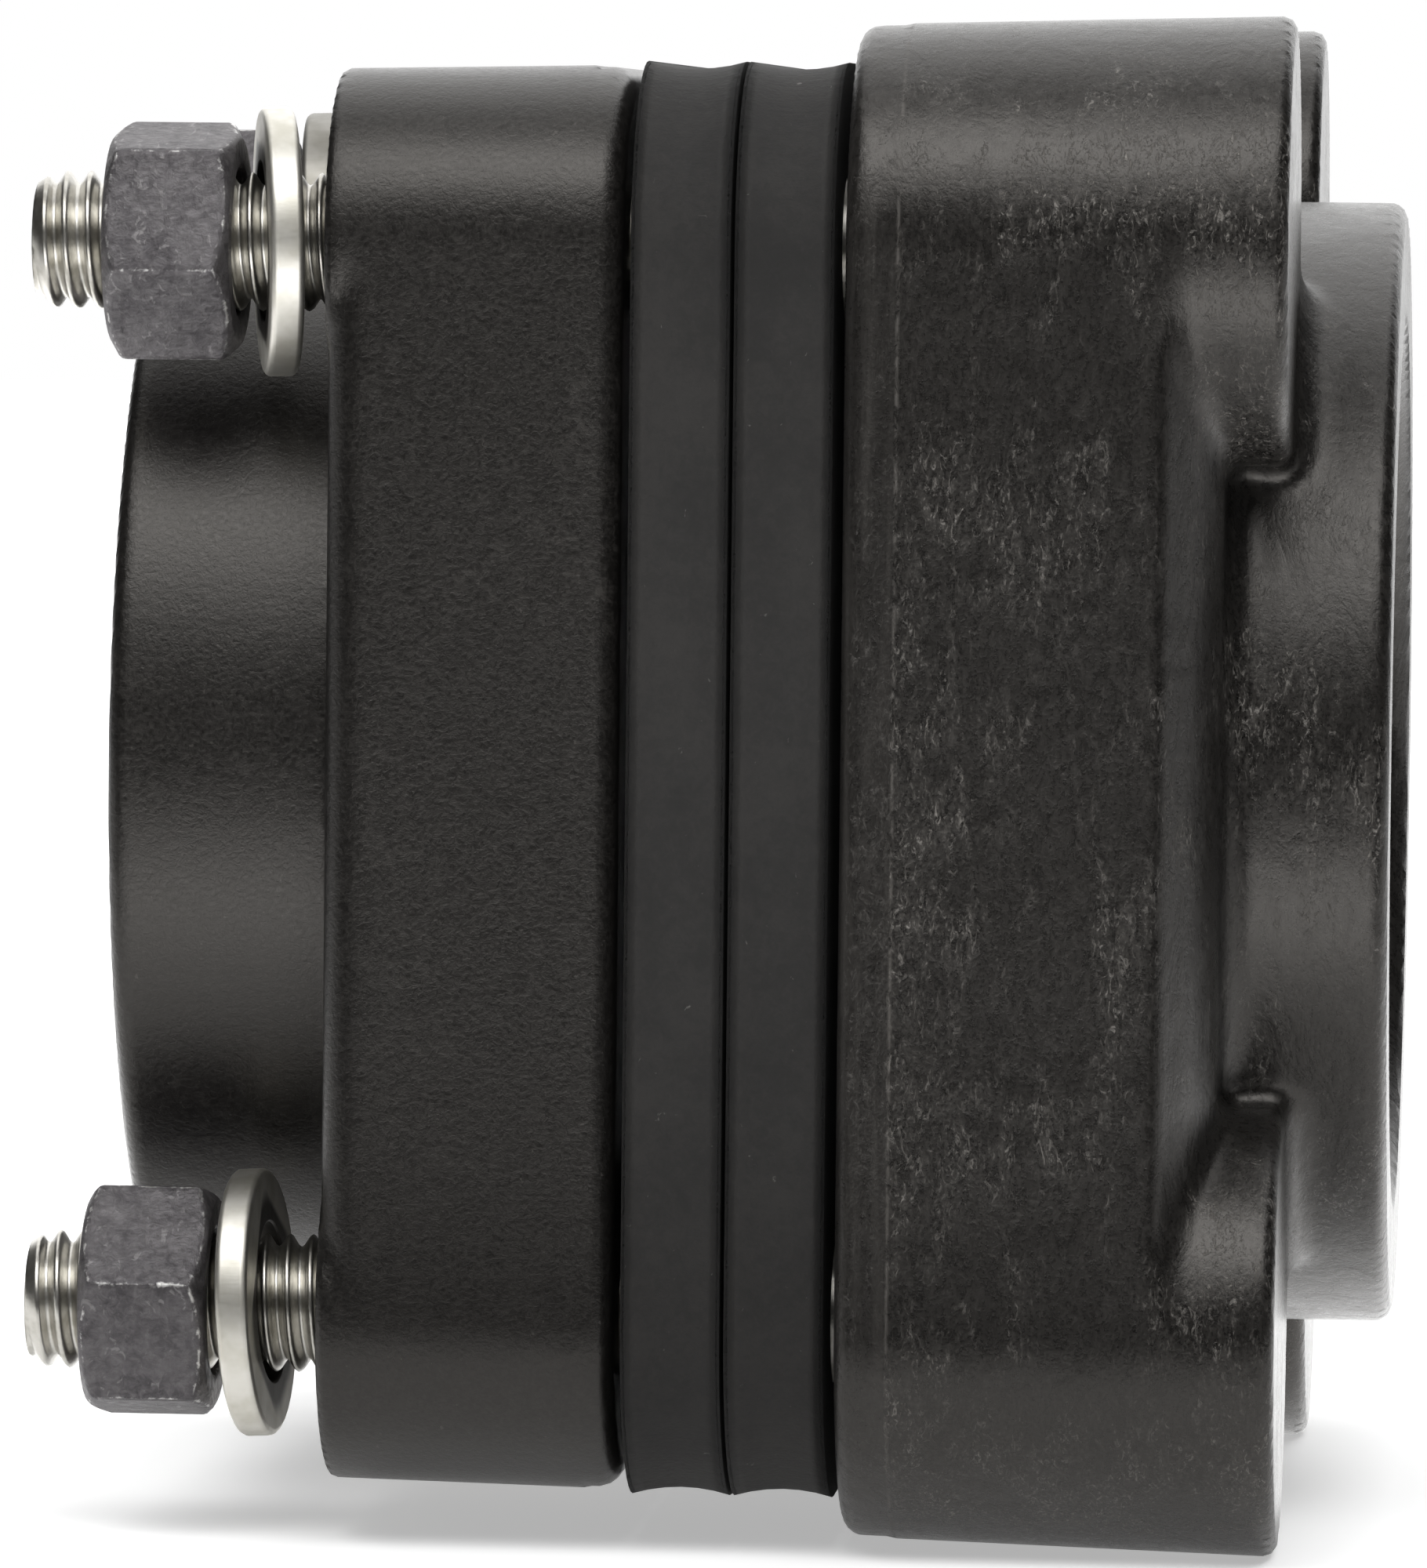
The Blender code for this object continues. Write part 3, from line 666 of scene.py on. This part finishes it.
def makeFloor():
    wide, near, far = studio["floorWide"] / 2, studio["floorNear"], studio["floorFar"]
    mesh = bpy.data.meshes.new("floor")
    corners = [(-wide, near, 0), (wide, near, 0), (wide, far, 0), (-wide, far, 0)]
    mesh.from_pydata(corners, [], [(0, 1, 2, 3)])
    floor = linked("floor", mesh)
    material = bpy.data.materials.new("paleFloor")
    material.use_nodes = True
    tree = material.node_tree
    tree.nodes.remove(tree.nodes["Principled BSDF"])
    start = Wire(tree)
    camera = start.node("ShaderNodeLightPath", {}, {}, out="Is Camera Ray")
    glossy = start.node("ShaderNodeLightPath", {}, {}, out="Is Glossy Ray")
    matte = start.node("ShaderNodeBsdfDiffuse", {}, {"Color": (*studio["floorColor"], 1)})
    x, y, z = start.node("ShaderNodeTexCoord", {}, {}, out="Object").parts()
    # The mirrored floor is brighter behind the object, and only as wide as the object needs
    mirrored = y.within(studio["behindFrom"], studio["behindTo"]) * studio["behindLift"]
    mirrored = mirrored + studio["glossyLift"]
    mirrored = mirrored * (1 - abs(x).within(studio["liftWide"], studio["liftWide"] + studio["liftSoft"]))
    lift = start.node("ShaderNodeEmission", {}, {
        "Strength": camera * studio["cameraLift"] + glossy * mirrored,
    })
    both = start.node("ShaderNodeAddShader", {}, [matte, lift])
    tree.links.new(both.socket, tree.nodes["Material Output"].inputs["Surface"])
    mesh.materials.append(material)


def makeSoftbox(name, look):
    lamp = bpy.data.lights.new(name, "AREA")
    lamp.shape, lamp.energy = "RECTANGLE", look["power"]
    lamp.size, lamp.size_y = look["size"]
    box = linked(name, lamp)
    box.location = look["place"]
    aim = Vector((0, 0, axisZ)) - Vector(look["place"])
    box.rotation_euler = aim.to_track_quat("-Z", "Y").to_euler()


# The camera stands right of the object and a little above it, and leans by a hair
cameraLook = {
    "sight": (-0.0126, 0.0, -0.0023), "offset": (0.0642, -0.786, 0.0437), "lens": 253.0, "roll": 0.60,
}


def makeCamera():
    camera = bpy.data.cameras.new("camera")
    camera.lens, camera.sensor_width = cameraLook["lens"], 36.0
    camera.clip_start, camera.clip_end = 0.01, 20.0
    holder = linked("camera", camera)
    sight = Vector(cameraLook["sight"]) + Vector((sealX, 0, axisZ))
    offset = Vector(cameraLook["offset"])
    holder.location = sight + offset
    aim = (-offset).to_track_quat("-Z", "Y").to_matrix().to_4x4()
    holder.rotation_euler = (aim @ Matrix.Rotation(radians(cameraLook["roll"]), 4, "Z")).to_euler()
    bpy.context.scene.camera = holder


bpy.context.scene.view_settings.view_transform = "Standard"
for spare in [o for o in bpy.data.objects if o.type in ("CAMERA", "LIGHT") or o.name == "Cube"]:
    bpy.data.objects.remove(spare)
makeCamera()
makeWorld()
makeFloor()
makeSoftbox("topSoftbox", studio["topSoftbox"])
print("camera, light and floor made")

scuffedPlastic = makeScuffedPlastic()
satinPlastic = makeSatinPlastic()
gasketRubber = makeGasketRubber()
threadSteel = makeThreadSteel()
washerSteel = makeWasherSteel()
nutSteel = makeNutSteel()
print("materials made")

backBody, frontBody = "clamp_body", "loose_flange"
millimetres = Matrix.Scale(0.001, 4)
place = Matrix.Translation((sealX, 0, axisZ)) @ millimetres
tree = makeFlangeTree("bossedFlange", bossedFlange, scuffedPlastic)
setOut(growPiece("bossedFlange", tree, bossedFlange, place), backBody, "black_plastic", "back_flange")
place = Matrix.Translation((frontHigh.x, 0, axisZ)) @ Matrix.Rotation(pi, 4, "Z") @ millimetres
tree = makeFlangeTree("looseFlange", plainFlange, satinPlastic)
setOut(growPiece("looseFlange", tree, plainFlange, place), frontBody, "black_plastic", "front_flange")
for side in ("back", "front"):
    gasket = dressedCopy(f"{side}GasketRing", f"{side}_gasket", gasketRubber)
    setOut(gasket, backBody, "black_rubber", f"{side}_gasket")
print("flanges grown and gaskets dressed")

place = Matrix.Translation((boltLow.x, 0, axisZ))
bolts = growPiece("threadedBolts", makeBoltTree(threadSteel), boltThread, place)
setOut(bolts, backBody, "stainless_steel", "bolt_1", "bolt_2", "bolt_3", "bolt_4")
tree = makePipeThreadTree(satinPlastic)
for name, body, faceX, turn in (
    ("backPipeThread", backBody, backHigh.x, 0.0), ("frontPipeThread", frontBody, frontLow.x, pi),
):
    place = Matrix.Translation((faceX, 0, axisZ)) @ Matrix.Rotation(turn, 4, "Z")
    setOut(growPiece(name, tree, pipeThread, place), body, "black_plastic")
print("threads grown")

for n in (1, 2, 3, 4):
    washer = settle(dressedCopy(f"looseWasher{n}", f"washer_{n}", washerSteel, washerLook["edgeRound"]))
    markRim(washer, f"washer_{n}", washerLook["paintedRimLevel"][n])
    setOut(washer, backBody, "stainless_steel", f"washer_{n}")
    nut = settle(dressedCopy(f"hexNut{n}", f"nut_{n}", nutSteel, nutLook["edgeRound"]))
    cutFine(nut)
    markWear(nut, f"nut_{n}")
    setOut(nut, f"nut_{n}_body", "dark_steel", f"nut_{n}")
print("nuts and washers dressed")
